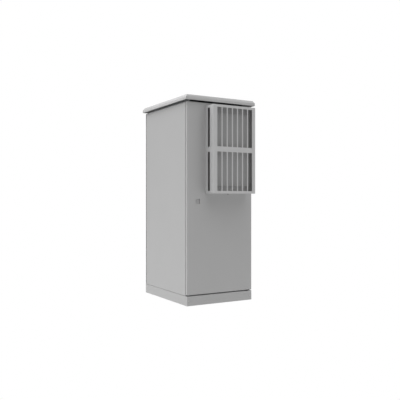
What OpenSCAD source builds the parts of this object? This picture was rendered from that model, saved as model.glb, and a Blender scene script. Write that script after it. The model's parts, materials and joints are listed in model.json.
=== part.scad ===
// Roadside utility cabinet: plinth, frame, panels and roof, with a door that
// carries an air-conditioning unit under a slotted hood.
// +Z is up and the door faces -Y. The origin is on the floor, under the middle
// of the plinth. Left and right are as seen by someone facing the door.

/* [Cabinet] */
// Width over the side panels
body_w = 740; // [700:1:900]
// Depth from the face of the door to the face of the rear panel
body_d = 930; // [800:1:1150]
// Height from the floor to the top of the roof
total_h = 2000; // [1970:1:2400]
// Thickness of the folded sheet metal
sheet = 2; // [1.5:0.1:2.5]
// Depth of the side panels' folded edges
panel_fold = 22; // [16:1:30]
// Depth of the rear panel with its seal
rear_t = 20; // [18:1:40]
// Gap between the rear panel and the frame, closed by a seal
rear_gap = 8; // [3:0.5:10]
// Gap between the plinth and the panels
panel_gap = 2; // [1:0.5:4]

/* [Plinth] */
// Height of the plinth
plinth_h = 91; // [75:1:140]
// Width of the folded top edge of the plinth's covers
plinth_fold = 50; // [40:1:70]
// Length of each leg and flange of a plinth corner
corner_leg = 80; // [65:1:110]
// Thickness of the plinth corners
corner_t = 3; // [3:0.5:6]
// Distance from the cabinet's faces to the middle of each anchor hole
anchor_in = 45; // [35:1:55]
// Diameter of the anchor holes
anchor_d = 14; // [10:1:18]
// Distance from the ends of a cover to its screws
cover_screw_in = 18; // [14:1:30]

/* [Frame] */
// Width of the square corner posts
post_w = 40; // [30:1:50]
// Wall of the corner posts
post_wall = 2.5; // [2:0.5:4]
// Height of the floor tray and the top tray
tray_h = 40; // [36:1:60]
// Clear width between the rack rails
rack_w = 450; // [430:1:480]
// Width of a rack rail's front flange
rail_w = 30; // [26:1:36]
// Distance from the frame's front to the front rack rails
rail_set_back = 180; // [160:1:220]
// Distance between the front and the rear rack rails, over their flanges
rack_d = 550; // [400:1:600]
// Pitch of the square holes in the rack rails
rack_pitch = 44.45; // [40:0.05:50]
// Height of the shelf above the floor
shelf_z = 600; // [400:1:900]

/* [Roof] */
// Overhang of the roof beyond the cabinet's faces
roof_overhang = 25; // [15:1:40]
// Height of the roof's vertical lip
roof_lip = 27; // [20:1:50]
// Height of the bevel round the roof
roof_bevel_h = 24; // [10:1:30]
// Width of the bevel round the roof
roof_bevel_w = 16; // [10:1:35]
// Height of the ventilation gap under the lip
vent_gap = 13; // [10:1:25]

/* [Door] */
// Thickness of the door
door_t = 26; // [24:1:32]
// Gap between the door and the frame, closed by the gasket
door_gap = 8; // [6:1:12]
// Gap between the plinth and the door
door_lift = 12; // [11:1:20]
// Distance from the door's edge to the middle of the hinge pins
pin_in = 12; // [11:1:14]
// Distance from the door's face to the middle of the hinge pins
pin_back = 16; // [14:1:18]
// Diameter of the hinge pins
pin_d = 10; // [8:1:11]
// Radial clearance of pins and shafts that turn in a bore
run_clear = 0.1; // [0.05:0.01:0.15]
// Width of the gasket
gasket_w = 14; // [10:1:16]

/* [Lock] */
// Distance from the door's left edge to the lock
lock_in = 118; // [112:1:130]
// Height of the lock above the floor
lock_z = 990; // [940:1:1000]
// Width of the lock's recess
lock_w = 43; // [38:1:50]
// Height of the lock's recess
lock_h = 45; // [38:1:50]
// Depth of the lock's recess
lock_depth = 9; // [8:0.5:18]
// Diameter of the lock core
core_d = 20; // [16:1:22]
// Radius of the circle that the crank pins run on
crank_r = 13; // [12:0.5:15]
// Diameter of the crank pins
crank_pin_d = 6; // [5:0.5:7]
// Diameter of the lock rods
rod_d = 8; // [6:1:9]

/* [Air-conditioning unit] */
// Width of the hood
hood_w = 484; // [450:1:500]
// Height of the hood
hood_h = 839; // [800:1:850]
// Depth of the hood
hood_d = 158; // [140:1:190]
// Distance from the hood to the door's right edge
hood_margin = 58; // [50:1:80]
// Distance from the top of the door to the top of the hood
hood_drop = 32; // [25:1:60]
// Outer radius of the hood's vertical bends
hood_r = 18; // [6:1:25]
// Number of slots in each row across the hood
slot_count = 7; // [4:1:12]
// Width of the bars between the slots
slot_bar = 12; // [8:1:20]
// Distance from the hood's sides to the first and last slot
slot_side = 43.5; // [30:0.5:60]
// Height of the plain band above and below the slots
slot_end = 24; // [20:1:40]
// Height of the plain band between the two rows of slots
slot_middle = 49; // [30:1:80]
// Width of the slots in the hood's left side
side_slot_w = 38; // [20:1:45]
// Distance from the door's face to the slots in the hood's left side
side_slot_y = 50; // [40:1:70]
// Width of the unit's outer casing
casing_w = 390; // [360:1:410]
// Height of the unit's outer casing
casing_h = 702; // [680:1:740]
// Distance from the hood's front to the unit's front cover
casing_back = 50; // [30:1:60]
// Depth of the unit behind the face of the door
tunnel_d = 145; // [130:1:150]
// Diameter of the condensate drain
drain_d = 15; // [12:1:20]

/* [Hidden] */
$fn = 48;

fit = 0.3;          // gap between pieces that sit beside each other
cut = 1;            // how far a cut runs past the faces that it goes through
left = -1;
right = 1;
front = -1;
rear = 1;

// Cabinet
half_w = body_w / 2;
half_d = body_d / 2;
door_face = -half_d;
door_back = door_face + door_t;
frame_front = door_back + door_gap;
frame_rear = half_d - rear_t;
frame_half_w = half_w - panel_fold;
lip_bottom = total_h - roof_bevel_h - roof_lip;
body_top = lip_bottom - vent_gap;
floor_top = plinth_h + tray_h;
top_tray_bottom = body_top - tray_h;
tray_underside = body_top - sheet;
door_bottom = plinth_h + door_lift;

// Fasteners: [shank diameter, head diameter, head height]
m5_screw = [5, 9, 3];
m6_screw = [6, 12, 3.5];
m8_bolt = [8, 14.4, 5.3];
hole_clear = 0.2;
screw_past = 3;     // how far a shank runs past the last sheet that it holds
plinth_screw_z = 45;

// Distance from a cover's ends to its folded edge, which stops short of the corners
plinth_clear = sheet + corner_leg + fit;

// Frame
rail_t = 2;
foot_t = 3;
rail_hole = 9.5;
rail_y = frame_front + rail_set_back;
rail_bolt_x = rack_w / 2 + rail_w / 2 - rail_t;
rail_bolt_y = rail_w / 2 + rail_t;
roof_rail_w = 40;
roof_rail_in = 30;
roof_rail_x = frame_half_w - 48;
roof_bolt_y = half_d - 115;
rear_screw_x = frame_half_w - post_w / 2;
rear_screw_in = 65;
seal_edge = 1;
rear_screw_z = [for (i = [0:3])
    floor_top + rear_screw_in + i * (body_top - floor_top - 2 * rear_screw_in) / 3];
gland_plate_t = 3;
gland_cut = [300, 120];
gland_plate = [340, 160];
gland_plate_in = 50;
gland_y = rail_y + rack_d - gland_plate_in - gland_plate[1];
gland_x = 70;
gland_thread_d = 32;
gland_bore_d = 20;
gland_nut_t = 6;
gland_hex = [42, 10];
gland_dome = [34, 18];
shelf_flange = 40;
shelf_fold = 12;
earth_bar = [240, 6, 25];
earth_bar_y = rail_y + 100;
earth_leg = 25;

// Door
pin_x = half_w - pin_in;
pin_y = door_face + pin_back;
bracket_t = 4;
bracket_front = 5;
bracket_left = 24;
bracket_tail = 36;
bracket_step = 1;
pin_collar = [18, door_lift - bracket_t - fit];
pin_head = [16, 4];
pin_reach = 24;
block_w = 2 * (pin_in - sheet);
block_h = 40;
gasket_t = door_gap - fit;
gasket_half_w = frame_half_w - 6;
gasket_edge = 3;

// Lock
lock_x = -half_w + lock_in;
cup_wall = 1.5;
core_flange = [26, 3];
core_shank = 8;
cam_t = 3;
cam_rim = 5;
cam_d = 2 * (crank_r + cam_rim);
crank_pin_past = 2;
cam_y = door_back + 2;
rod_y = frame_front + rod_d / 2 + 1;
yoke = [21, 4, 16];
yoke_in = 1.5;
slot_play = 0.6;
crank_rise = crank_r * sin(45);
rod_x = yoke_in + yoke[0] / 2;
rod_stroke = 2 * crank_rise;
keeper = [30, 3, 24];
keeper_low_grip = 9;
keeper_high_grip = 16;
keeper_clear = 3;
rod_low = floor_top + keeper[2] + keeper_clear;
rod_high = top_tray_bottom - keeper[2] - keeper_clear;
guide = [24, 20];
guide_from_end = 160;

// Air-conditioning unit
ac_x = half_w - hood_margin - hood_w / 2;
hood_top = body_top - hood_drop;
hood_bottom = hood_top - hood_h;
hood_front = door_face - hood_d;
hood_tab = 15;
slot_w = (hood_w - 2 * slot_side - (slot_count - 1) * slot_bar) / slot_count;
slot_h = (hood_h - 2 * slot_end - slot_middle) / 2;
slot_shift = -3;    // the slots stand a little to the left of the hood's middle
casing_front = hood_front + casing_back;
casing_rise = 2.5;
casing_z = hood_bottom + (hood_h - casing_h) / 2 + casing_rise;
casing_top = casing_z + casing_h;
seal_t = 3;
flange_y = door_face - seal_t - sheet;
tunnel_in = 15;
tunnel_half_w = casing_w / 2 - tunnel_in;
tunnel_z = casing_z + 2 * tunnel_in;
tunnel_top = casing_top - 2 * tunnel_in;
tunnel_y = door_face + tunnel_d - sheet;
tunnel_gap = 3;
casing_screw_x = casing_w / 2 - tunnel_in / 2;
casing_screw_in = 64;
casing_screw_z = [for (i = [0:2])
    casing_z + casing_screw_in + i * (casing_h - 2 * casing_screw_in) / 2];
hood_screw_x = hood_w / 2 - sheet - hood_tab / 2;
hood_screw_in = 60;
hood_screw_z = [for (i = [0:2])
    hood_bottom + hood_screw_in + i * (hood_h - 2 * hood_screw_in) / 2];
drain_y = door_face - 30;
drain_wall = 2;
drain_drop = 12;
top_vent = [260, 60];
top_vent_y = flange_y - 80;
floor_vent = [130, 30];
floor_vent_x = ac_x + 30;
floor_vent_y = flange_y - 68;
inner_vent = [240, 12];
inner_vent_pitch = 28;
inner_vent_count = 6;
motor = [70, 28];
shaft_d = 8;
shaft_reach = 18;
shaft_room = 2;
fan_gap = 3;
hub = [50, 20];
condenser_fan_r = 125;
condenser_fan_z = casing_z + 464;
evaporator_fan_r = 95;
evaporator_fan_z = casing_z + 154;
inner_vent_z = [evaporator_fan_z - 80, tunnel_top - 200];
blade_t = 2;
blade_pitch = 32;
blade_share = 0.8;  // of the hub's length
blade_root = 3;
compressor_d = 84;
compressor_h = 165;
compressor_foot = [100, 4];
compressor_x = ac_x - 110;
compressor_y = (casing_front + flange_y) / 2;

// ---- Helpers ----

// A block given by its lowest and highest X, Y and Z
module span(x, y, z)
    translate([x[0], y[0], z[0]])
        cube([x[1] - x[0], y[1] - y[0], z[1] - z[0]]);

// The children as they are for the rear right-hand corner, turned to any corner
module at_corner(side, end) {
    if (side == left) mirror([1, 0, 0]) at_end(end) children();
    else at_end(end) children();
}

module at_end(end) {
    if (end == front) mirror([0, 1, 0]) children();
    else children();
}

module both_sides() {
    children();
    mirror([1, 0, 0]) children();
}

// A cylinder along Y that starts at the origin and runs to +Y
module rod_along_y(d, length)
    rotate([-90, 0, 0]) cylinder(d = d, h = length);

// A screw whose head stands at Z 0 and points down, and whose shank runs up
module screw(kind, shank) {
    cylinder(d = kind[0], h = shank);
    translate([0, 0, -kind[2]]) cylinder(d = kind[1], h = kind[2]);
}

// The same screw driven in along +Y
module screw_along_y(kind, shank)
    rotate([-90, 0, 0]) screw(kind, shank);

module hex_bolt(shank) {
    cylinder(d = m8_bolt[0], h = shank);
    translate([0, 0, -m8_bolt[2]]) cylinder(d = m8_bolt[1], h = m8_bolt[2], $fn = 6);
}

// The hole that a screw of that kind goes through, long enough for any sheet here
module screw_hole(kind, depth)
    translate([0, 0, -cut]) cylinder(d = kind[0] + 2 * hole_clear, h = depth + 2 * cut);

// A folded pan: its skin is at Y 0 and its edges are folded back to +Y
module pan(w, depth, h, t = sheet)
    difference() {
        cube([w, depth, h]);
        translate([t, t, t]) cube([w - 2 * t, depth, h - 2 * t]);
    }

// ---- Plinth ----

module plinth_corner(side, end)
    color("gainsboro")
        at_corner(side, end)
            difference() {
                span([half_w - sheet - corner_leg, half_w - sheet],
                    [half_d - sheet - corner_leg, half_d - sheet], [0, plinth_h]);
                span([half_w - sheet - corner_leg - cut, half_w - sheet - corner_t],
                    [half_d - sheet - corner_leg - cut, half_d - sheet - corner_t],
                    [corner_t, plinth_h - corner_t]);
                translate([half_w - anchor_in, half_d - anchor_in, -cut])
                    cylinder(d = anchor_d, h = corner_t + 2 * cut);
                plinth_screw_holes();
            }

module plinth_screw_holes()
    translate([half_w - cover_screw_in, half_d - sheet - corner_t, plinth_screw_z])
        rotate([-90, 0, 0]) screw_hole(m6_screw, sheet + corner_t);

module plinth_end_cover(end)
    color("gainsboro")
        at_end(end)
            difference() {
                union() {
                    span([-half_w, half_w], [half_d - sheet, half_d], [0, plinth_h]);
                    span([-half_w + plinth_clear, half_w - plinth_clear],
                        [half_d - plinth_fold, half_d - cut], [plinth_h - sheet, plinth_h]);
                }
                both_sides() plinth_screw_holes();
            }

module plinth_side_cover(side)
    color("gainsboro")
        at_corner(side, rear) {
            span([half_w - sheet, half_w],
                [-half_d + sheet, half_d - sheet], [0, plinth_h]);
            span([half_w - plinth_fold, half_w - cut],
                [-half_d + plinth_clear, half_d - plinth_clear], [plinth_h - sheet, plinth_h]);
        }

module plinth_screws()
    color("silver")
        for (end = [front, rear])
            at_end(end)
                both_sides()
                    translate([half_w - cover_screw_in, half_d, plinth_screw_z])
                        mirror([0, 1, 0])
                        screw_along_y(m6_screw, sheet + corner_t + screw_past);

// ---- Frame ----

// A tray with its sheet at the top, its flanges pointing down, and its underside open
module tray(z)
    difference() {
        span([-frame_half_w, frame_half_w], [frame_front, frame_rear], [z, z + tray_h]);
        span([-frame_half_w + sheet, frame_half_w - sheet],
            [frame_front + sheet, frame_rear - sheet], [z - cut, z + tray_h - sheet]);
    }

module rail_bolt_holes(z, depth)
    for (side = [left, right])
        for (end = [front, rear])
            translate([side * rail_bolt_x, rail_end_y(end) - end * rail_bolt_y, z])
                screw_hole(m8_bolt, depth);

// Outer face of the front or rear rack rails
function rail_end_y(end) = end == front ? rail_y : rail_y + rack_d;

module floor_tray()
    color("lightgray")
        difference() {
            tray(plinth_h);
            span([-gland_cut[0] / 2, gland_cut[0] / 2],
                [gland_y + (gland_plate[1] - gland_cut[1]) / 2,
                 gland_y + (gland_plate[1] + gland_cut[1]) / 2],
                [floor_top - sheet - cut, floor_top + cut]);
            rail_bolt_holes(floor_top - sheet, sheet);
        }

module gland_plate()
    color("silver")
        difference() {
            span([-gland_plate[0] / 2, gland_plate[0] / 2],
                [gland_y, gland_y + gland_plate[1]], [floor_top, floor_top + gland_plate_t]);
            both_sides()
                translate([gland_x, gland_y + gland_plate[1] / 2, floor_top - cut])
                    cylinder(d = gland_thread_d + 2 * fit, h = gland_plate_t + 2 * cut);
        }

module cable_gland()
    difference() {
        union() {
            translate([0, 0, -gland_nut_t])
                cylinder(d = gland_hex[0], h = gland_nut_t, $fn = 6);
            cylinder(d = gland_thread_d, h = gland_plate_t);
            translate([0, 0, gland_plate_t])
                cylinder(d = gland_hex[0], h = gland_hex[1], $fn = 6);
            translate([0, 0, gland_plate_t + gland_hex[1]])
                cylinder(d = gland_dome[0], h = gland_dome[1]);
        }
        translate([0, 0, -gland_nut_t - cut])
            cylinder(d = gland_bore_d,
                h = gland_nut_t + gland_plate_t + gland_hex[1] + gland_dome[1] + 2 * cut);
    }

module cable_glands()
    color("dimgray")
        both_sides()
            translate([gland_x, gland_y + gland_plate[1] / 2, floor_top]) cable_gland();

function post_y(end) = end == front ? frame_front : frame_rear - post_w;

module post(side, end)
    color("silver")
        at_corner(side, rear)
            difference() {
                span([frame_half_w - post_w, frame_half_w],
                    [post_y(end), post_y(end) + post_w], [floor_top, top_tray_bottom]);
                span([frame_half_w - post_w + post_wall, frame_half_w - post_wall],
                    [post_y(end) + post_wall, post_y(end) + post_w - post_wall],
                    [floor_top - cut, top_tray_bottom + cut]);
                if (end == rear) rear_screw_holes();
            }

module top_tray()
    color("lightgray")
        difference() {
            tray(top_tray_bottom);
            rail_bolt_holes(tray_underside, sheet);
            roof_bolt_holes(tray_underside, sheet);
        }

// ---- Panels ----

module side_panel(side)
    color("gainsboro")
        at_corner(side, rear)
            translate([half_w, frame_front, plinth_h + panel_gap])
                rotate([0, 0, 90])
                    pan(frame_rear - frame_front, panel_fold,
                        body_top - plinth_h - panel_gap);

module rear_screw_holes()
    for (z = rear_screw_z)
        translate([rear_screw_x, frame_rear - post_wall, z])
            rotate([-90, 0, 0]) screw_hole(m6_screw, rear_t + post_wall);

module rear_panel()
    color("gainsboro")
        difference() {
            translate([half_w, half_d, plinth_h + panel_gap])
                rotate([0, 0, 180])
                    pan(body_w, rear_t - rear_gap, body_top - plinth_h - panel_gap);
            both_sides() rear_screw_holes();
        }

module rear_panel_screws()
    color("silver")
        both_sides()
            for (z = rear_screw_z)
                translate([rear_screw_x, half_d, z])
                    mirror([0, 1, 0])
                        screw_along_y(m6_screw, rear_t + post_wall + screw_past);

module rear_seal()
    color("dimgray")
        difference() {
            rear_seal_block(0);
            rear_seal_block(gasket_w);
        }

module rear_seal_block(inset) {
    edge = seal_edge + inset;
    past = inset > 0 ? cut : 0;
    span([-half_w + edge, half_w - edge], [frame_rear - past, frame_rear + rear_gap - fit + past],
        [plinth_h + panel_gap + edge, body_top - edge]);
}

// ---- Roof ----

// The roof's solid outline, drawn in by an inset: a block with a bevel round its top
module roof_block(inset) {
    w = half_w + roof_overhang - inset;
    d = half_d + roof_overhang - inset;
    top = total_h - inset;
    bottom = inset > 0 ? lip_bottom - cut : lip_bottom;
    intersection() {
        translate([0, d, 0]) rotate([90, 0, 0])
            linear_extrude(2 * d) roof_outline(w, bottom, top);
        translate([-w, 0, 0]) rotate([90, 0, 90])
            linear_extrude(2 * w) roof_outline(d, bottom, top);
    }
}

module roof_outline(half, bottom, top)
    polygon([
        [-half, bottom], [half, bottom], [half, top - roof_bevel_h],
        [half - roof_bevel_w, top], [roof_bevel_w - half, top],
        [-half, top - roof_bevel_h],
    ]);

module roof_cap()
    color("whitesmoke")
        difference() {
            roof_block(0);
            roof_block(sheet);
        }

// Two channels that carry the roof on the top tray
module roof_rails()
    color("silver")
        both_sides()
            difference() {
                span([roof_rail_x - roof_rail_w, roof_rail_x],
                    [frame_front + roof_rail_in, frame_rear - roof_rail_in],
                    [body_top, total_h - sheet]);
                span([roof_rail_x - roof_rail_w - cut, roof_rail_x - sheet],
                    [frame_front + roof_rail_in - cut, frame_rear - roof_rail_in + cut],
                    [body_top + sheet, total_h - 2 * sheet]);
                roof_bolt_holes(body_top, sheet);
            }

module roof_bolt_holes(z, depth)
    for (end = [front, rear])
        both_sides()
            translate([roof_rail_x - roof_rail_w / 2, end * roof_bolt_y, z])
                screw_hole(m8_bolt, depth);

// ---- Rack and fittings ----

module rack_rail(side, end)
    color("lightsteelblue")
        at_corner(side, rear)
            translate([rack_w / 2, rail_end_y(end), floor_top])
                at_end(-end)
                    difference() {
                        union() {
                            cube([rail_w, rail_t, tray_underside - floor_top]);
                            translate([rail_w - rail_t, 0, 0])
                                cube([rail_t, rail_w, tray_underside - floor_top]);
                            cube([rail_w, rail_w, foot_t]);
                            translate([0, 0, tray_underside - floor_top - foot_t])
                                cube([rail_w, rail_w, foot_t]);
                        }
                        rack_rail_holes();
                        translate([rail_bolt_x - rack_w / 2, rail_bolt_y, 0])
                            screw_hole(m8_bolt, tray_underside - floor_top);
                    }

module rack_rail_holes() {
    rail_h = tray_underside - floor_top;
    count = floor((rail_h - 4 * rail_hole) / rack_pitch);
    for (i = [0:count - 1])
        translate([rail_w / 4, -cut, 2 * rail_hole + i * rack_pitch])
            cube([rail_hole, rail_t + 2 * cut, rail_hole]);
}

module equipment_shelf()
    color("lightsteelblue")
        translate([0, rail_y, shelf_z]) {
            half = rack_w / 2 - fit;
            span([-half, half], [0, rack_d], [-sheet, 0]);
            both_sides()
                span([half - sheet, half], [0, rack_d], [-shelf_flange, 0]);
            for (y = [0, rack_d - sheet])
                span([-half, half], [y, y + sheet], [-shelf_fold, 0]);
        }

module earth_bar()
    color("peru")
        translate([-earth_bar[0] / 2, earth_bar_y, floor_top]) {
            translate([0, 0, earth_leg]) cube(earth_bar);
            for (x = [0, earth_bar[0] - earth_leg])
                translate([x, 0, 0]) cube([earth_leg, earth_bar[1], earth_leg]);
        }

module frame_bolts()
    color("silver") {
        for (side = [left, right])
            for (end = [front, rear]) {
                rail_bolt = [side * rail_bolt_x, rail_end_y(end) - end * rail_bolt_y];
                translate([rail_bolt[0], rail_bolt[1], tray_underside - foot_t])
                    hex_bolt(foot_t + sheet + screw_past);
                translate([rail_bolt[0], rail_bolt[1], floor_top + foot_t])
                    mirror([0, 0, 1]) hex_bolt(foot_t + sheet + screw_past);
                translate([side * (roof_rail_x - roof_rail_w / 2), end * roof_bolt_y,
                    tray_underside])
                    hex_bolt(2 * sheet + screw_past);
            }
    }

// ---- Hinges ----

module bracket_plate(y, z, thickness)
    span([pin_x - bracket_left, half_w - sheet], y, [z, z + thickness]);

module hinge_bracket_lower()
    color("silver")
        difference() {
            bracket_plate([door_face + bracket_front, frame_front - fit], plinth_h, bracket_t);
            translate([pin_x, pin_y, plinth_h - cut])
                cylinder(d = pin_d, h = bracket_t + 2 * cut);
        }

module hinge_bracket_upper()
    color("silver")
        difference() {
            bracket_plate([door_face + bracket_front, frame_front + bracket_tail],
                body_top, bracket_t + bracket_step);
            bracket_plate([door_face, frame_front], body_top - cut, bracket_step + cut);
            translate([pin_x, pin_y, body_top])
                cylinder(d = pin_d, h = bracket_t + bracket_step + cut);
        }

module hinge_pin_lower()
    color("darkgray")
        translate([pin_x, pin_y, plinth_h]) {
            cylinder(d = pin_d, h = door_lift + sheet + pin_reach);
            translate([0, 0, bracket_t]) cylinder(d = pin_collar[0], h = pin_collar[1]);
        }

module hinge_pin_upper()
    color("darkgray")
        translate([pin_x, pin_y, body_top + bracket_step + bracket_t]) {
            cylinder(d = pin_head[0], h = pin_head[1]);
            translate([0, 0, -bracket_step - bracket_t - sheet - pin_reach])
                cylinder(d = pin_d, h = bracket_step + bracket_t + sheet + pin_reach);
        }

module hinge_blocks()
    color("dimgray")
        for (z = [door_bottom + sheet, body_top - sheet - block_h])
            difference() {
                span([pin_x - block_w / 2, half_w - sheet],
                    [door_face + sheet, door_back - sheet], [z, z + block_h]);
                translate([pin_x, pin_y, z - cut])
                    cylinder(d = pin_d + 2 * run_clear, h = block_h + 2 * cut);
            }

// ---- Door ----

module tunnel_cut(y, length)
    span([ac_x - tunnel_half_w - tunnel_gap, ac_x + tunnel_half_w + tunnel_gap],
        [y - cut, y + length + cut], [tunnel_z - tunnel_gap, tunnel_top + tunnel_gap]);

module ac_screw_holes(y, depth) {
    for (side = [left, right]) {
        for (z = casing_screw_z)
            translate([ac_x + side * casing_screw_x, y, z])
                rotate([-90, 0, 0]) screw_hole(m5_screw, depth);
        for (z = hood_screw_z)
            translate([ac_x + side * hood_screw_x, y, z])
                rotate([-90, 0, 0]) screw_hole(m5_screw, depth);
    }
}

module door_shell()
    color("lightgray")
        difference() {
            translate([-half_w, door_face, door_bottom])
                pan(body_w, door_t, body_top - door_bottom);
            tunnel_cut(door_face, sheet);
            ac_screw_holes(door_face, sheet);
            span([lock_x - lock_w / 2 - cup_wall - fit, lock_x + lock_w / 2 + cup_wall + fit],
                [door_face - cut, door_face + sheet + cut],
                [lock_z - lock_h / 2 - cup_wall - fit, lock_z + lock_h / 2 + cup_wall + fit]);
            translate([pin_x, pin_y, door_bottom - cut])
                cylinder(d = pin_d + 2, h = sheet + 2 * cut);
            translate([pin_x, pin_y, body_top - sheet - cut])
                cylinder(d = pin_d + 2, h = sheet + 2 * cut);
        }

module door_inner_panel()
    color("lightgray")
        difference() {
            span([-half_w + sheet + fit, half_w - sheet - fit],
                [door_back - sheet, door_back],
                [door_bottom + sheet + fit, body_top - sheet - fit]);
            tunnel_cut(door_back - sheet, sheet);
            translate([lock_x, door_back - sheet - cut, lock_z])
                rod_along_y(core_d + 2, sheet + 2 * cut);
        }

module door_gasket()
    color("dimgray")
        difference() {
            span([-gasket_half_w, gasket_half_w], [door_back, door_back + gasket_t],
                [door_bottom + gasket_edge, body_top - gasket_edge]);
            span([-gasket_half_w + gasket_w, gasket_half_w - gasket_w],
                [door_back - cut, door_back + gasket_t + cut],
                [door_bottom + gasket_edge + gasket_w, body_top - gasket_edge - gasket_w]);
        }

// ---- Lock ----

module lock_cup()
    color("gray")
        difference() {
            span([lock_x - lock_w / 2 - cup_wall, lock_x + lock_w / 2 + cup_wall],
                [door_face, door_face + lock_depth + cup_wall],
                [lock_z - lock_h / 2 - cup_wall, lock_z + lock_h / 2 + cup_wall]);
            span([lock_x - lock_w / 2, lock_x + lock_w / 2],
                [door_face - cut, door_face + lock_depth],
                [lock_z - lock_h / 2, lock_z + lock_h / 2]);
            translate([lock_x, door_face + lock_depth - cut, lock_z])
                rod_along_y(core_d + 2 * run_clear, cup_wall + 2 * cut);
        }

module lock_core()
    color("silver")
        translate([lock_x, 0, lock_z])
            difference() {
                union() {
                    translate([0, door_face + lock_depth - fit - core_flange[1], 0])
                        rod_along_y(core_flange[0], core_flange[1]);
                    translate([0, door_face + lock_depth - fit, 0])
                        rod_along_y(core_d, cam_y - door_face - lock_depth + fit);
                    translate([-core_shank / 2, cam_y - cut, -core_shank / 2])
                        cube([core_shank, cam_t + 1 + cut, core_shank]);
                }
                translate([0, door_face + lock_depth - fit - core_flange[1] - cut, 0])
                    rotate([-90, 0, 0]) rotate([0, 0, 30])
                        cylinder(r = 6, h = 7, $fn = 3);
            }

// A plate with two crank pins, one for each rod
module lock_cam()
    color("darkgray")
        translate([lock_x, cam_y, lock_z])
            difference() {
                union() {
                    rod_along_y(cam_d, cam_t);
                    for (side = [left, right])
                        translate([side * crank_rise, cam_t - cut, -side * crank_rise])
                            rod_along_y(crank_pin_d,
                                rod_y - cam_y - cam_t + yoke[1] / 2 + crank_pin_past + cut);
                }
                translate([-core_shank / 2 - run_clear, -cut, -core_shank / 2 - run_clear])
                    cube([core_shank + 2 * run_clear, cam_t + 2 * cut,
                        core_shank + 2 * run_clear]);
            }

// A rod with its slotted yoke round a crank pin; it stands to the right of the core
module lock_rod(length)
    difference() {
        union() {
            translate([yoke_in, -yoke[1] / 2, -yoke[2] / 2]) cube(yoke);
            translate([rod_x, 0, yoke[2] / 2 - cut]) cylinder(d = rod_d, h = length + cut);
        }
        translate([crank_rise - crank_pin_d / 2 - slot_play, -yoke[1],
            -crank_pin_d / 2 - slot_play])
            cube([crank_r - crank_rise + crank_pin_d + 2 * slot_play, 2 * yoke[1],
                crank_pin_d + 2 * slot_play]);
    }

module lock_rod_upper()
    color("silver")
        translate([lock_x, rod_y, lock_z - crank_rise])
            lock_rod(rod_high - lock_z + crank_rise - yoke[2] / 2);

module lock_rod_lower()
    color("silver")
        translate([lock_x, rod_y, lock_z + crank_rise])
            rotate([0, 180, 0])
                lock_rod(lock_z + crank_rise - yoke[2] / 2 - rod_low);

module rod_guides()
    color("dimgray") {
        rod_guide(lock_x + rod_x, rod_high - guide_from_end);
        rod_guide(lock_x - rod_x, rod_low + guide_from_end);
    }

module rod_guide(x, z)
    difference() {
        span([x - guide[0] / 2, x + guide[0] / 2],
            [door_back, rod_y + rod_d], [z - guide[1] / 2, z + guide[1] / 2]);
        translate([x, rod_y, z - guide[1] / 2 - cut])
            cylinder(d = rod_d + 2 * run_clear, h = guide[1] + 2 * cut);
    }

// Two plates on the frame that the rods pass behind when the door is locked
module lock_keepers()
    color("silver") {
        keeper_plate(lock_x + rod_x, top_tray_bottom - keeper[2],
            top_tray_bottom + keeper_high_grip);
        keeper_plate(lock_x - rod_x, floor_top - keeper_low_grip, floor_top + keeper[2]);
    }

module keeper_plate(x, low, high)
    span([x - keeper[0] / 2, x + keeper[0] / 2],
        [frame_front - keeper[1], frame_front], [low, high]);

// ---- Air-conditioning unit ----

// The hood's outline from above: round at its two front corners, and its rear past the door
module hood_outline(inset, rear_y) {
    w = hood_w / 2 - inset;
    r = hood_r - inset;
    y = hood_front + inset;
    translate([ac_x, 0]) {
        translate([-w, y + r]) square([2 * w, rear_y - y - r]);
        translate([r - w, y]) square([2 * (w - r), 2 * r]);
        for (side = [left, right])
            translate([side * (w - r), y + r]) circle(r = r);
    }
}

module ac_hood()
    color("gainsboro")
        difference() {
            union() {
                difference() {
                    translate([0, 0, hood_bottom])
                        linear_extrude(hood_h) hood_outline(0, door_face);
                    translate([0, 0, hood_bottom + sheet])
                        linear_extrude(hood_h - 2 * sheet) hood_outline(sheet, door_face + cut);
                }
                for (side = [left, right])
                    hood_tab_plate(side);
            }
            hood_slots();
            ac_screw_holes(door_face - sheet, sheet);
            translate([ac_x, drain_y, hood_bottom - cut])
                cylinder(d = drain_d + 2 * fit, h = sheet + 2 * cut);
        }

module hood_tab_plate(side)
    translate([ac_x, 0, 0])
        at_corner(side, rear)
            span([hood_w / 2 - sheet - hood_tab, hood_w / 2 - sheet / 2],
                [door_face - sheet, door_face],
                [hood_bottom + sheet / 2, hood_top - sheet / 2]);

module hood_slots()
    for (row = [0, 1]) {
        z = hood_bottom + slot_end + row * (slot_h + slot_middle);
        for (i = [0:slot_count - 1]) {
            x = ac_x + slot_shift - hood_w / 2 + slot_side + i * (slot_w + slot_bar);
            span([x, x + slot_w], [hood_front - cut, hood_front + sheet + cut],
                [z, z + slot_h]);
        }
        span([ac_x - hood_w / 2 - cut, ac_x - hood_w / 2 + sheet + cut],
            [door_face - side_slot_y - side_slot_w, door_face - side_slot_y],
            [z, z + slot_h]);
    }

module ac_screws()
    color("silver")
        for (side = [left, right]) {
            for (z = casing_screw_z)
                translate([ac_x + side * casing_screw_x, flange_y, z])
                    screw_along_y(m5_screw, 2 * sheet + seal_t + screw_past);
            for (z = hood_screw_z)
                translate([ac_x + side * hood_screw_x, door_face - sheet, z])
                    screw_along_y(m5_screw, 2 * sheet + screw_past);
        }

// A square tube along Y round the unit's middle
module casing_tube(half, y, z)
    difference() {
        span([ac_x - half, ac_x + half], y, z);
        span([ac_x - half + sheet, ac_x + half - sheet], [y[0] - cut, y[1] + cut],
            [z[0] + sheet, z[1] - sheet]);
    }

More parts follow.
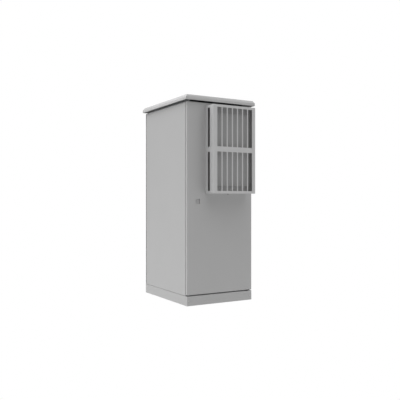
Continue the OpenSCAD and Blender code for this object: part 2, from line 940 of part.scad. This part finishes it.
module ac_casing()
    color("lightgray")
        difference() {
            union() {
                casing_tube(casing_w / 2, [casing_front + sheet, flange_y + sheet],
                    [casing_z, casing_top]);
                span([ac_x - casing_w / 2, ac_x + casing_w / 2],
                    [flange_y, flange_y + sheet], [casing_z, casing_top]);
                casing_tube(tunnel_half_w, [flange_y + sheet, tunnel_y],
                    [tunnel_z, tunnel_top]);
            }
            ac_screw_holes(flange_y, sheet);
            translate([ac_x - top_vent[0] / 2, top_vent_y, casing_top - sheet - cut])
                cube([top_vent[0], top_vent[1], sheet + 2 * cut]);
            translate([floor_vent_x, floor_vent_y, casing_z - cut])
                cube([floor_vent[0], floor_vent[1], sheet + 2 * cut]);
            translate([ac_x, drain_y, casing_z - cut])
                cylinder(d = drain_d - 2 * drain_wall, h = sheet + 2 * cut);
        }

module ac_front_cover()
    color("lightgray")
        span([ac_x - casing_w / 2, ac_x + casing_w / 2],
            [casing_front, casing_front + sheet], [casing_z, casing_top]);

module ac_inner_cover()
    color("lightgray")
        difference() {
            span([ac_x - tunnel_half_w, ac_x + tunnel_half_w],
                [tunnel_y, tunnel_y + sheet], [tunnel_z, tunnel_top]);
            for (z = inner_vent_z)
                for (i = [0:inner_vent_count - 1])
                    translate([ac_x - inner_vent[0] / 2, tunnel_y - cut,
                        z + i * inner_vent_pitch])
                        cube([inner_vent[0], sheet + 2 * cut, inner_vent[1]]);
        }

module ac_seal()
    color("dimgray")
        difference() {
            span([ac_x - casing_w / 2 + sheet, ac_x + casing_w / 2 - sheet],
                [door_face - seal_t, door_face], [casing_z + sheet, casing_top - sheet]);
            tunnel_cut(door_face - seal_t, seal_t);
            ac_screw_holes(door_face - seal_t, seal_t);
        }

// A fin pack between two end plates, joined by its tubes
module coil(half, y, z) {
    end_t = 2;
    end_lip = 1;
    bend_room = 12;
    tube_d = 9;
    tubes = 6;
    pack = half - bend_room;
    span([ac_x - pack, ac_x + pack], [y[0] + end_lip, y[1] - end_lip], z);
    for (x = [ac_x - half, ac_x + half - end_t])
        span([x, x + end_t], y, z);
    for (i = [0:tubes - 1])
        translate([ac_x - half + end_t / 2, (y[0] + y[1]) / 2,
            z[0] + (i + 0.5) * (z[1] - z[0]) / tubes])
            rotate([0, 90, 0]) cylinder(d = tube_d, h = 2 * half - end_t);
}

module condenser_coil()
    color("darksalmon")
        coil(casing_w / 2 - sheet - fit, [casing_front + 6, casing_front + 38],
            [casing_z + 262, casing_top - 38]);

module evaporator_coil()
    color("darksalmon")
        coil(tunnel_half_w - sheet - fit, [tunnel_y - 78, tunnel_y - 43],
            [tunnel_z + 264, tunnel_top - 16]);

module compressor()
    color("dimgray")
        translate([compressor_x, compressor_y, casing_z + sheet]) {
            translate([-compressor_foot[0] / 2, -compressor_d / 2, 0])
                cube([compressor_foot[0], compressor_d, compressor_foot[1]]);
            translate([0, 0, compressor_foot[1]]) rotate_extrude() compressor_outline();
        }

// Half of the compressor's section: its shell is round at the bottom and the top
module compressor_outline() {
    r = compressor_d / 2;
    bend = 18;
    square([r - bend, compressor_h]);
    translate([0, bend]) square([r, compressor_h - 2 * bend]);
    for (z = [bend, compressor_h - bend])
        translate([r - bend, z]) circle(r = bend);
}

// A fan motor on the wall at that Y, with the bore that the fan's shaft turns in
module fan_motor(y, z, facing)
    translate([ac_x, y, z])
        at_end(facing)
            difference() {
                rod_along_y(motor[0], motor[1]);
                translate([0, motor[1] - shaft_reach - shaft_room, 0])
                    rod_along_y(shaft_d + 2 * run_clear, shaft_reach + shaft_room + cut);
            }

module fan(y, z, facing, r, blades)
    translate([ac_x, y, z])
        at_end(facing) {
            translate([0, motor[1] - shaft_reach, 0])
                rod_along_y(shaft_d, shaft_reach + fan_gap + cut);
            translate([0, motor[1] + fan_gap, 0]) rod_along_y(hub[0], hub[1]);
            for (i = [0:blades - 1])
                translate([0, motor[1] + fan_gap + hub[1] / 2, 0])
                    rotate([0, i * 360 / blades, 0])
                        rotate([0, 0, blade_pitch])
                            fan_blade(r);
        }

// A flat blade that stands up from the hub, in the plane through its own axis
module fan_blade(r) {
    chord = blade_share * hub[1] / sin(blade_pitch);
    root = hub[0] / 2 - blade_root;
    translate([-chord / 2, -blade_t / 2, root]) cube([chord, blade_t, r - root]);
}

module condenser_motor()
    color("gray") fan_motor(flange_y, condenser_fan_z, front);

module condenser_fan()
    color("darkgray") fan(flange_y, condenser_fan_z, front, condenser_fan_r, 5);

module evaporator_motor()
    color("gray") fan_motor(flange_y + sheet, evaporator_fan_z, rear);

module evaporator_fan()
    color("darkgray") fan(flange_y + sheet, evaporator_fan_z, rear, evaporator_fan_r, 5);

module drain_pipe()
    color("gray")
        translate([ac_x, drain_y, hood_bottom - drain_drop])
            difference() {
                cylinder(d = drain_d, h = casing_z - hood_bottom + drain_drop);
                translate([0, 0, -cut])
                    cylinder(d = drain_d - 2 * drain_wall,
                        h = casing_z - hood_bottom + drain_drop + 2 * cut);
            }

// ---- Nodes ----

plinth_corner(left, front);  // plinth_corner_front_left
plinth_corner(right, front);  // plinth_corner_front_right
plinth_corner(left, rear);  // plinth_corner_rear_left
plinth_corner(right, rear);  // plinth_corner_rear_right
plinth_end_cover(front);  // plinth_cover_front
plinth_end_cover(rear);  // plinth_cover_rear
plinth_side_cover(left);  // plinth_cover_left
plinth_side_cover(right);  // plinth_cover_right
plinth_screws();
floor_tray();
gland_plate();
cable_glands();
post(left, front);  // post_front_left
post(right, front);  // post_front_right
post(left, rear);  // post_rear_left
post(right, rear);  // post_rear_right
top_tray();
side_panel(left);  // side_panel_left
side_panel(right);  // side_panel_right
rear_panel();
rear_panel_screws();
rear_seal();
roof_cap();
roof_rails();
rack_rail(left, front);  // rack_rail_front_left
rack_rail(right, front);  // rack_rail_front_right
rack_rail(left, rear);  // rack_rail_rear_left
rack_rail(right, rear);  // rack_rail_rear_right
equipment_shelf();
earth_bar();
frame_bolts();
hinge_bracket_lower();
hinge_bracket_upper();
hinge_pin_lower();
hinge_pin_upper();
lock_keepers();
door_shell();
door_inner_panel();
door_gasket();
hinge_blocks();
lock_cup();
rod_guides();
lock_core();
lock_cam();
lock_rod_upper();
lock_rod_lower();
ac_hood();
ac_screws();
ac_casing();
ac_front_cover();
ac_inner_cover();
ac_seal();
condenser_coil();
evaporator_coil();
compressor();
condenser_motor();
evaporator_motor();
condenser_fan();
evaporator_fan();
drain_pipe();
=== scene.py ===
import json
import math

import bmesh
import bpy
from mathutils import Matrix, Vector


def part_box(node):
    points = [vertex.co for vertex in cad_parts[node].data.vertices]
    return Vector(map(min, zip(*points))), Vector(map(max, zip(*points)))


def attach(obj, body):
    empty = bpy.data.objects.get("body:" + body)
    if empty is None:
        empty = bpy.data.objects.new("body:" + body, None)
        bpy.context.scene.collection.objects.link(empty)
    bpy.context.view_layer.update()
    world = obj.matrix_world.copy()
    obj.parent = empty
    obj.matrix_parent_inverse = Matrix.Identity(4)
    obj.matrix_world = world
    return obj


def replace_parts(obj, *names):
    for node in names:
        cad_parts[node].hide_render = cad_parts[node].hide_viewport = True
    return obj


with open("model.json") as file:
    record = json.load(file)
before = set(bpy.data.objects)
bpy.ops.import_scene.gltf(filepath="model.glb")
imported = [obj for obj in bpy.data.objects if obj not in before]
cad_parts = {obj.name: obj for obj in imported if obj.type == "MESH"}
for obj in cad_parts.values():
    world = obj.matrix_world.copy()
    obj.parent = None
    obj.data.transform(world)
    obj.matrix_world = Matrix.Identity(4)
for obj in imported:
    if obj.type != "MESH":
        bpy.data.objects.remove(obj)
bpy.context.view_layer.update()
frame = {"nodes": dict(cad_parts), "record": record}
record = frame["record"]
slotOf = {part["node"]: part["material_slot"] for part in record["subparts"]}
bodyOf = {node: body for body, nodes in record["behaviour"]["bodies"].items() for node in nodes}
pivotOf = {j["child"]: Vector(j.get("pos_m", (0, 0, 0))) for j in record["behaviour"]["joints"]}
mm = 0.001
print("frame loaded:", len(frame["nodes"]), "nodes")


class Wire:
    # one value in a shader, so that maths on it can be written as plain expressions
    def __init__(self, shader, socket):
        self.shader = shader
        self.socket = socket

    def maths(self, operation, *others, clamp=False):
        values = dict(enumerate((self, *others)))
        settings = {"operation": operation, "use_clamp": clamp}
        return self.shader.add("ShaderNodeMath", settings, values)

    def __add__(self, other):
        return self.maths("ADD", other)

    def __mul__(self, other):
        return self.maths("MULTIPLY", other)

    def __pow__(self, other):
        return self.maths("POWER", other)

    __radd__ = __add__
    __rmul__ = __mul__

    def clamped(self):
        return self.maths("ADD", 0, clamp=True)


class Shader:
    # a node tree that nodes are added to
    def __init__(self, tree):
        self.tree = tree

    def plug(self, socket, value):
        if isinstance(value, Wire):
            self.tree.links.new(value.socket, socket)
        else:
            socket.default_value = value

    def add(self, kind, settings=None, values=None, out=0):
        node = self.tree.nodes.new(kind)
        for key, value in (settings or {}).items():
            if key == "stops":
                ramp = node.color_ramp
                while len(ramp.elements) < len(value):
                    ramp.elements.new(0.5)
                for element, (place, colour) in zip(ramp.elements, value):
                    element.position = place
                    element.color = (*colour, 1)
            else:
                setattr(node, key, value)
        for key, value in (values or {}).items():
            self.plug(node.inputs[key], value)
        return Wire(self, node.outputs[out])


class Finish(Shader):
    # a material built up round its Principled shader
    def __init__(self, name):
        self.material = bpy.data.materials.new(name)
        self.material.use_nodes = True
        super().__init__(self.material.node_tree)

    def place(self):
        return self.add("ShaderNodeTexCoord", out="Object")

    def noise(self, scale, detail=2.0, stretch=None):
        where = self.place()
        if stretch:
            where = self.add("ShaderNodeMapping", values={"Vector": where, "Scale": stretch})
        values = {"Vector": where, "Scale": scale, "Detail": detail}
        return self.add("ShaderNodeTexNoise", values=values, out="Fac")

    def mixed(self, amount, first, second):
        values = {0: amount, 6: (*first, 1), 7: (*second, 1)}
        return self.add("ShaderNodeMix", {"data_type": "RGBA"}, values, out=2)

    def bump(self, height, depth, distance):
        values = {"Height": height, "Strength": depth, "Distance": distance}
        return self.add("ShaderNodeBump", values=values, out="Normal")

    def surface(self, **values):
        shader = self.tree.nodes["Principled BSDF"]
        for key, value in values.items():
            self.plug(shader.inputs[key.replace("_", " ")], value)
        return self.material


def shade(colour, factor):
    return tuple(channel * factor for channel in colour)


coat = {
    "colour": (0.50, 0.50, 0.50),
    "hoodColour": (0.60, 0.60, 0.60),
    # the inner grey below is the inner parts' own paint made darker as painted shade on the
    # plate seen behind the hood's slots
    "innerColourWithPaintedShade": (0.38, 0.38, 0.38),
    "roughness": 0.41,  # at its smoothest
    "grain": 900,       # fine orange peel of the powder coat, per metre
    "grainDepth": 0.05,
    "grainGloss": 0.06,
    "cloud": 3.0,       # slow change of tone over a large panel, per metre
    "cloudGloss": 0.08,
    "drift": 0.025,     # how far that tone wanders
}


def powderCoat(name, colour):
    finish = Finish(name)
    peel = finish.noise(coat["grain"], 3)
    cloud = finish.noise(coat["cloud"], 3)
    drift = coat["drift"]
    gloss = cloud * coat["cloudGloss"] + peel * coat["grainGloss"]
    return finish.surface(
        Base_Color=finish.mixed(cloud, shade(colour, 1 - drift), shade(colour, 1 + drift)),
        Roughness=gloss + coat["roughness"],
        Normal=finish.bump(peel, coat["grainDepth"], 0.2 * mm),
    )


def galvanised(name, colour):
    finish = Finish(name)
    where = finish.place()
    values = {"Vector": where, "Scale": 90.0}
    spangle = finish.add("ShaderNodeTexVoronoi", values=values, out="Color")
    grey = finish.add("ShaderNodeRGBToBW", values={"Color": spangle})
    tone = finish.mixed(grey, shade(colour, 0.86), shade(colour, 1.1))
    return finish.surface(
        Base_Color=tone, Metallic=0.85, Roughness=grey * 0.16 + 0.34,
    )


def zincPlate(name, colour):
    finish = Finish(name)
    brushed = finish.noise(500, 3, stretch=(1, 1, 8))
    return finish.surface(
        Base_Color=finish.mixed(brushed, shade(colour, 0.88), shade(colour, 1.06)),
        Metallic=1.0,
        Roughness=brushed * 0.14 + 0.24,
        Normal=finish.bump(brushed, 0.05, 0.1 * mm),
    )


def moulded(name, colour, roughness=0.5):
    finish = Finish(name)
    grain = finish.noise(1400, 2)
    cloud = finish.noise(25, 2)
    return finish.surface(
        Base_Color=finish.mixed(cloud, shade(colour, 0.9), shade(colour, 1.12)),
        Roughness=cloud * 0.1 + (roughness - 0.05),
        Normal=finish.bump(grain, 0.12, 0.1 * mm),
    )


def cellular(name, colour):
    finish = Finish(name)
    values = {"Vector": finish.place(), "Scale": 1100.0}
    cells = finish.add("ShaderNodeTexVoronoi", values=values, out="Distance")
    return finish.surface(
        Base_Color=finish.mixed(cells, shade(colour, 0.7), shade(colour, 1.4)),
        Roughness=cells * 0.1 + 0.82,
        Normal=finish.bump(cells, 0.3, 0.2 * mm),
    )


def finStock(name, colour):
    finish = Finish(name)
    dust = finish.noise(120, 4)
    return finish.surface(
        Base_Color=finish.mixed(dust, shade(colour, 0.8), shade(colour, 1.05)),
        Metallic=0.9,
        Roughness=dust * 0.2 + 0.3,
    )


def bareCopper(name, colour):
    finish = Finish(name)
    stain = finish.noise(60, 4)
    rolled = finish.noise(700, 2, stretch=(0.05, 1, 1))
    return finish.surface(
        Base_Color=finish.mixed(stain, shade(colour, 0.7), colour),
        Metallic=1.0,
        Roughness=stain * 0.2 + 0.25,
        Normal=finish.bump(rolled, 0.08, 0.1 * mm),
    )


finishes = {
    "cabinet_paint": powderCoat("cabinetPaint", coat["colour"]),
    "hood_paint": powderCoat("hoodPaint", coat["hoodColour"]),
    # the inner finish carries painted shade: its grey is darkened for the plate behind the
    # hood's slots
    "inner_paint": powderCoat("innerPaintWithPaintedShade", coat["innerColourWithPaintedShade"]),
    "galvanised_steel": galvanised("galvanisedSheet", (0.60, 0.61, 0.62)),
    "rack_steel": galvanised("rackSteel", (0.52, 0.54, 0.57)),
    "bright_zinc": zincPlate("brightZinc", (0.74, 0.74, 0.73)),
    "seal_rubber": cellular("sealRubber", (0.035, 0.035, 0.036)),
    "dark_plastic": moulded("darkPlastic", (0.06, 0.06, 0.063)),
    "black_enamel": moulded("blackEnamel", (0.025, 0.025, 0.027), 0.3),
    "coil_aluminium": finStock("finStock", (0.66, 0.66, 0.66)),
    "earth_brass": bareCopper("bareCopper", (0.80, 0.46, 0.29)),
    "drain_plastic": moulded("drainPlastic", (0.38, 0.38, 0.38), 0.45),
}
print("finishes made:", len(finishes))


# how near points are merged, in millimetres, and how flat a corner is dissolved, in degrees
cleaning = {"merge": 0.005, "flat": 0.5}


def copyOf(node):
    made = bmesh.new()
    made.from_mesh(frame["nodes"][node].data)
    bmesh.ops.remove_doubles(made, verts=made.verts, dist=cleaning["merge"] * mm)
    flat = math.radians(cleaning["flat"])
    bmesh.ops.dissolve_limit(made, angle_limit=flat, verts=made.verts, edges=made.edges)
    return made


def sharpEdges(made, angle=40):
    limit = math.radians(angle)
    return [e for e in made.edges if len(e.link_faces) == 2 and e.calc_face_angle(0) > limit]


def onOutside(edge, low, high):
    # true where an edge is where two sides of the piece's own box meet
    hits = 0
    for axis in range(3):
        for side in (low[axis], high[axis]):
            if all(abs(v.co[axis] - side) < 0.02 * mm for v in edge.verts):
                hits += 1
    return hits >= 2


def bevelled(made, edges, width, segments):
    if edges:
        bmesh.ops.bevel(
            made, geom=edges, offset=width, offset_type="OFFSET", segments=segments,
            profile=0.5, affect="EDGES", clamp_overlap=False, material=-1,
        )


def finished(made, name, node, smoothAngle=35):
    mesh = bpy.data.meshes.new(name)
    made.to_mesh(mesh)
    made.free()
    mesh.shade_smooth()
    mesh.set_sharp_from_angle(angle=math.radians(smoothAngle))
    piece = bpy.data.objects.new(name, mesh)
    bpy.context.scene.collection.objects.link(piece)
    mesh.materials.clear()
    mesh.materials.append(finishes[slotOf[node]])
    weighted = piece.modifiers.new("flatFaces", "WEIGHTED_NORMAL")
    weighted.keep_sharp = True
    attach(piece, bodyOf[node])
    return piece


# outer bend radius and edge softening of each sheet-metal node, in millimetres
bends = {
    "door_shell": (2.6, 0.35), "rear_panel": (2.6, 0.35),
    "side_panel_left": (2.6, 0.35), "side_panel_right": (2.6, 0.35),
    "plinth_cover_front": (0.5, 0.3), "plinth_cover_rear": (0.5, 0.3),
    "plinth_cover_left": (0.5, 0.3), "plinth_cover_right": (0.5, 0.3),
    "ac_front_cover": (0.7, 0.3), "ac_casing": (1.5, 0.35), "ac_inner_cover": (0.7, 0.3),
    "floor_tray": (2.4, 0.35), "top_tray": (2.4, 0.35),
    "equipment_shelf": (2.2, 0.35), "door_inner_panel": (0.5, 0.3),
    "lock_rod_upper": (0.06, 0.06), "lock_rod_lower": (0.06, 0.06),
}
softEdge = 0.4


def softened(node):
    outer, inner = bends.get(node, (softEdge, softEdge))
    made = copyOf(node)
    low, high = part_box(node)
    rim = [e for e in sharpEdges(made) if onOutside(e, low, high)]
    bevelled(made, rim, outer * mm, 4)
    bevelled(made, [e for e in sharpEdges(made) if e.is_convex], inner * mm, 2)
    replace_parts(finished(made, node + ".shown", node), node)


def looseParts(made):
    # the groups of vertices that no edge joins
    left = set(made.verts)
    parts = []
    while left:
        part = [left.pop()]
        for vertex in part:
            for edge in vertex.link_edges:
                other = edge.other_vert(vertex)
                if other in left:
                    left.remove(other)
                    part.append(other)
        parts.append([v.co.copy() for v in part])
    return parts


def hexRadius(angle, radius):
    # distance from the middle of a hexagon to its side, in that direction
    sixth = math.radians(60)
    return radius * math.cos(sixth / 2) / math.cos(angle % sixth - sixth / 2)


def lobeRadius(angle, radius):
    return radius * (0.88 + 0.12 * math.cos(6 * angle))


# screws and bolts: the way they point, the drive in the head and its size in millimetres
screws = {
    "plinth_screws": {"axis": 1, "drive": hexRadius, "size": 2.4, "sunk": 2.2, "dome": 1.6},
    "rear_panel_screws": {"axis": 1, "drive": hexRadius, "size": 2.4, "sunk": 2.2, "dome": 1.6},
    "ac_screws": {"axis": 1, "drive": lobeRadius, "size": 1.7, "sunk": 1.6, "dome": 1.4},
    "frame_bolts": {"axis": 2, "drive": None, "size": 0, "sunk": 0, "dome": 0.9},
}


# the rim round a drive, how much the drive narrows and the tip of a shank narrows
screwHead = {"rim": 0.5, "draft": 0.08, "tip": 0.9, "sides": 24, "boltSides": 6}


def topFace(made, height):
    flat = [f for f in made.faces if all(abs(v.co.z - height) < 1e-6 for v in f.verts)]
    return max(flat, key=lambda f: f.calc_area())


def oneScrew(points, spec):
    # built standing on its shank with the head up, then laid where the points are
    axis = spec["axis"]
    across = [i for i in range(3) if i != axis]
    low, high = ([pick(p[i] for p in points) for i in range(3)] for pick in (min, max))
    centre = Vector([(a + b) / 2 for a, b in zip(low, high)])
    reach = [math.hypot(*(p[i] - centre[i] for i in across)) for p in points]
    wide = max(reach)
    headEnds = [p[axis] for p, r in zip(points, reach) if r > 0.98 * wide]
    narrow = min(r for r in reach if r > 0.5 * mm)
    headUp = max(headEnds) > high[axis] - 0.01 * mm
    headHeight = max(headEnds) - min(headEnds)
    length = high[axis] - low[axis] - headHeight

    made = bmesh.new()
    bmesh.ops.create_cone(
        made, cap_ends=True, segments=screwHead["sides" if spec["drive"] else "boltSides"],
        radius1=wide, radius2=wide, depth=headHeight,
        matrix=Matrix.Translation((0, 0, headHeight / 2)),
    )
    bevelled(made, list(topFace(made, headHeight).edges), spec["dome"] * mm, 3)
    if spec["drive"]:
        face = topFace(made, headHeight)
        bmesh.ops.inset_region(made, faces=[face], thickness=screwHead["rim"] * mm)
        for v in face.verts:
            angle = math.atan2(v.co.y, v.co.x)
            radius = spec["drive"](angle, spec["size"] * mm)
            v.co.x, v.co.y = radius * math.cos(angle), radius * math.sin(angle)
        bmesh.ops.inset_region(
            made, faces=[face], thickness=screwHead["draft"] * mm, depth=-spec["sunk"] * mm
        )
    bmesh.ops.create_cone(
        made, cap_ends=True, segments=20, radius1=screwHead["tip"] * narrow,
        radius2=narrow, depth=length,
        matrix=Matrix.Translation((0, 0, -length / 2)),
    )
    out = Vector([0, 0, 0])
    out[axis] = 1 if headUp else -1
    foot = centre.copy()
    foot[axis] = (high[axis] - headHeight) if headUp else (low[axis] + headHeight)
    turn = out.to_track_quat("Z", "Y").to_matrix().to_4x4()
    bmesh.ops.transform(made, matrix=Matrix.Translation(foot) @ turn, verts=made.verts)
    return made


def joined(meshes):
    whole = bmesh.new()
    for made in meshes:
        part = bpy.data.meshes.new("part")
        made.to_mesh(part)
        made.free()
        whole.from_mesh(part)
        bpy.data.meshes.remove(part)
    return whole


def screwSet(node):
    source = copyOf(node)
    parts = looseParts(source)
    source.free()
    made = joined(oneScrew(points, screws[node]) for points in parts)
    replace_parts(finished(made, node + ".shown", node, smoothAngle=50), node)


# sizes in millimetres
fanShape = {
    "hubDepth": 20, "hubEdge": 4, "hubRadius": 25, "shaftRadius": 4, "root": 3,
    "rootChord": 44, "tipChord": 70, "rise": 15, "camber": 1.6, "blades": 5, "sheet": 1.4,
    "tipTuck": 14,      # how much the blade's tip is cut back at its corners
}


def turned(made, outline, steps=48):
    # spins an outline of (radius, height) points, in millimetres, right round Z
    verts = [made.verts.new((r * mm, 0, z * mm)) for r, z in outline]
    edges = [made.edges.new(pair) for pair in zip(verts, verts[1:])]
    bmesh.ops.spin(
        made, geom=verts + edges, cent=(0, 0, 0), axis=(0, 0, 1), angle=math.tau,
        steps=steps, use_merge=True, dvec=(0, 0, 0),
    )
    bmesh.ops.remove_doubles(made, verts=made.verts, dist=1e-6)
    bmesh.ops.recalc_face_normals(made, faces=made.faces)


def fanBlade(turn, radius):
    shape = fanShape
    made = bmesh.new()
    bmesh.ops.create_grid(made, x_segments=8, y_segments=8, size=0.5)
    root = shape["hubRadius"] - shape["root"]
    for v in made.verts:
        u, w = v.co.x, v.co.y + 0.5
        r = root + w * (radius - root)
        chord = shape["rootChord"] + (shape["tipChord"] - shape["rootChord"]) * w
        chord -= shape["tipTuck"] * w ** 6
        angle = turn + u * chord / r
        height = shape["hubDepth"] / 2 + u * shape["rise"] + shape["camber"] * (1 - 4 * u * u)
        v.co = Vector((r * math.sin(angle), r * math.cos(angle), height - 1)) * mm
    made.normal_update()
    bmesh.ops.solidify(made, geom=made.faces, thickness=shape["sheet"] * mm)
    bmesh.ops.recalc_face_normals(made, faces=made.faces)
    return made


def fanWheel(node, facing):
    # the hub's open end and the blades point along facing, which is 1 or -1 on Y
    shape = fanShape
    low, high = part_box(node)
    pivot = pivotOf[bodyOf[node]]
    radius = (high[2] - pivot.z) / mm
    length = (high[1] - low[1]) / mm
    hub = bmesh.new()
    r, d, e = shape["hubRadius"], shape["hubDepth"], shape["hubEdge"]
    turned(hub, [
        (0, 0), (r - 2, 0), (r, 2), (r, d - e), (r - 0.3 * e, d - 0.3 * e), (r - e, d),
        (r - 2 * e, d), (r - 2.5 * e, d - 1), (0, d - 1),
    ])
    shaft = bmesh.new()
    bmesh.ops.create_cone(
        shaft, cap_ends=True, segments=24, radius1=shape["shaftRadius"] * mm,
        radius2=shape["shaftRadius"] * mm, depth=(length - d + 1) * mm,
        matrix=Matrix.Translation((0, 0, -(length - d - 1) / 2 * mm)),
    )
    blades = [
        fanBlade(i * math.tau / shape["blades"], radius) for i in range(shape["blades"])
    ]
    made = joined([hub, shaft, *blades])
    end = high[1] if facing > 0 else low[1]
    turn = Vector((0, facing, 0)).to_track_quat("Z", "Y").to_matrix().to_4x4()
    place = Matrix.Translation((pivot.x, end - facing * d * mm, pivot.z))
    bmesh.ops.transform(made, matrix=place @ turn, verts=made.verts)
    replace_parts(finished(made, node + ".shown", node), node)


# sizes in millimetres, and the number of tubes
coilShape = {"pitch": 3.2, "fin": 0.25, "endSheet": 2, "lip": 1, "tube": 4.5, "tubes": 6}


def block(made, low, high):
    size = [b - a for a, b in zip(low, high)]
    middle = [(a + b) / 2 for a, b in zip(low, high)]
    bmesh.ops.create_cube(
        made, size=1, matrix=Matrix.Translation(middle) @ Matrix.Diagonal((*size, 1))
    )


def coilPack(node):
    shape = coilShape
    low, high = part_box(node)
    made = bmesh.new()
    end = shape["endSheet"] * mm
    for x in (low[0], high[0] - end):
        block(made, (x, low[1], low[2]), (x + end, high[1], high[2]))
    lip = shape["lip"] * mm
    room = high[0] - low[0] - 4 * end
    count = int(room / (shape["pitch"] * mm))
    for i in range(count):
        x = low[0] + 2 * end + (i + 0.5) * room / count
        fin = shape["fin"] / 2 * mm
        block(made, (x - fin, low[1] + lip, low[2]), (x + fin, high[1] - lip, high[2]))
    step = (high[2] - low[2]) / shape["tubes"]
    along = Matrix.Rotation(math.radians(90), 4, "Y")
    middle = (low[0] + high[0]) / 2
    for i in range(shape["tubes"]):
        place = Matrix.Translation((middle, (low[1] + high[1]) / 2, low[2] + (i + 0.5) * step))
        bmesh.ops.create_cone(
            made, cap_ends=True, segments=16, radius1=shape["tube"] * mm,
            radius2=shape["tube"] * mm, depth=high[0] - low[0] - 0.2 * mm, matrix=place @ along,
        )
    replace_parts(finished(made, node + ".shown", node), node)


# how far the baffle stands behind the unit's front, its sheet, the gap round it, the hood's wall
# and its edge softening, in millimetres
baffle = {"behind": 7, "sheet": 1.5, "gap": 0.6, "wall": 2, "soft": 0.3}


def airBaffle():
    # a plate that closes the space between the cooling unit and its hood, behind the slots
    hood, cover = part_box("ac_hood"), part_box("ac_front_cover")
    edge, gap = (baffle["wall"] + baffle["gap"]) * mm, baffle["gap"] * mm
    lines = [
        (hood[0][i] + edge, cover[0][i] - gap, cover[1][i] + gap, hood[1][i] - edge)
        for i in (0, 2)
    ]
    front = cover[0][1] + baffle["behind"] * mm
    made = bmesh.new()
    bmesh.ops.create_grid(made, x_segments=3, y_segments=3, size=1.5)
    middle = min(made.faces, key=lambda f: f.calc_center_median().length)
    bmesh.ops.delete(made, geom=[middle], context="FACES_ONLY")
    for v in made.verts:
        column, row = round(v.co.x + 1.5), round(v.co.y + 1.5)
        v.co = Vector((lines[0][column], front, lines[1][row]))
    made.normal_update()
    bmesh.ops.solidify(made, geom=made.faces, thickness=baffle["sheet"] * mm)
    bmesh.ops.recalc_face_normals(made, faces=made.faces)
    bevelled(made, sharpEdges(made), baffle["soft"] * mm, 2)
    finished(made, "ac_baffle.shown", "ac_front_cover")


for node in sorted(frame["nodes"]):
    if node in screws:
        screwSet(node)
    elif node.endswith("_fan"):
        fanWheel(node, -1 if node.startswith("condenser") else 1)
    elif node.endswith("_coil"):
        coilPack(node)
    else:
        softened(node)
airBaffle()
print("pieces made:", len(frame["nodes"]) + 1)


studio = {
    "cameraPlace": (-2.8885, -5.055, 1.003),
    "cameraTurn": -30.09,
    "lens": 50,
    "floorGlow": 0.7,     # light thrown back by the floor
    "soft": {             # azimuth, height, narrowness and strength of each soft light
        "overhead": (0, 90, 4, 2.3),
        "backLeft": (-135, 45, 12, 3.6),
        "leftTop": (-128, 65, 12, 2.0),
        "leftLow": (-126, 20, 12, 0.65),
        "front": (0, 40, 8, 0.48),
        "right": (20, 25, 8, 0.33),
        "rightLow": (40, 10, 8, 0.2),
    },
}


def showWhite(shader, lit, output):
    # the floor and the backdrop are plain white to look at, whatever light they give
    white = shader.add("ShaderNodeEmission", values={"Color": (1, 1, 1, 1), "Strength": 1.0})
    direct = shader.add("ShaderNodeLightPath", out="Is Camera Ray")
    both = shader.add("ShaderNodeMixShader", values={0: direct, 1: lit, 2: white})
    shader.plug(output.inputs["Surface"], both)


def softSky(shader):
    # a few broad soft lights
    way = shader.add("ShaderNodeTexCoord", out="Generated")
    total = 0
    for azimuth, height, narrow, strength in studio["soft"].values():
        turn, rise = math.radians(azimuth), math.radians(height)
        aim = (
            math.sin(turn) * math.cos(rise), -math.cos(turn) * math.cos(rise), math.sin(rise)
        )
        toward = shader.add(
            "ShaderNodeVectorMath", {"operation": "DOT_PRODUCT"}, {0: way, 1: aim}, out="Value"
        )
        total = toward.clamped() ** narrow * strength + total
    return shader.add("ShaderNodeBackground", values={"Color": (1, 1, 1, 1), "Strength": total})


def makeStudio():
    scene = bpy.context.scene
    scene.view_settings.view_transform = "Standard"
    camera = bpy.data.objects.new("camera", bpy.data.cameras.new("camera"))
    camera.data.lens = studio["lens"]
    camera.data.sensor_width = 36
    camera.location = studio["cameraPlace"]
    camera.rotation_euler = (math.radians(90), 0, math.radians(studio["cameraTurn"]))
    scene.collection.objects.link(camera)
    scene.camera = camera

    scene.world = bpy.data.worlds.new("studio")
    scene.world.use_nodes = True
    tree = scene.world.node_tree
    tree.nodes.remove(tree.nodes["Background"])
    sky = Shader(tree)
    showWhite(sky, softSky(sky), tree.nodes["World Output"])

    made = bmesh.new()
    bmesh.ops.create_grid(made, x_segments=1, y_segments=1, size=40)
    mesh = bpy.data.meshes.new("studioFloor")
    made.to_mesh(mesh)
    made.free()
    floor = bpy.data.objects.new("studioFloor", mesh)
    floor.location = (0, 0, -0.5 * mm)
    scene.collection.objects.link(floor)
    paper = bpy.data.materials.new("paleFloor")
    paper.use_nodes = True
    tree = paper.node_tree
    tree.nodes.remove(tree.nodes["Principled BSDF"])
    pale = Shader(tree)
    glow = pale.add(
        "ShaderNodeEmission", values={"Color": (1, 1, 1, 1), "Strength": studio["floorGlow"]}
    )
    showWhite(pale, glow, tree.nodes["Material Output"])
    mesh.materials.append(paper)


makeStudio()
print("studio made")
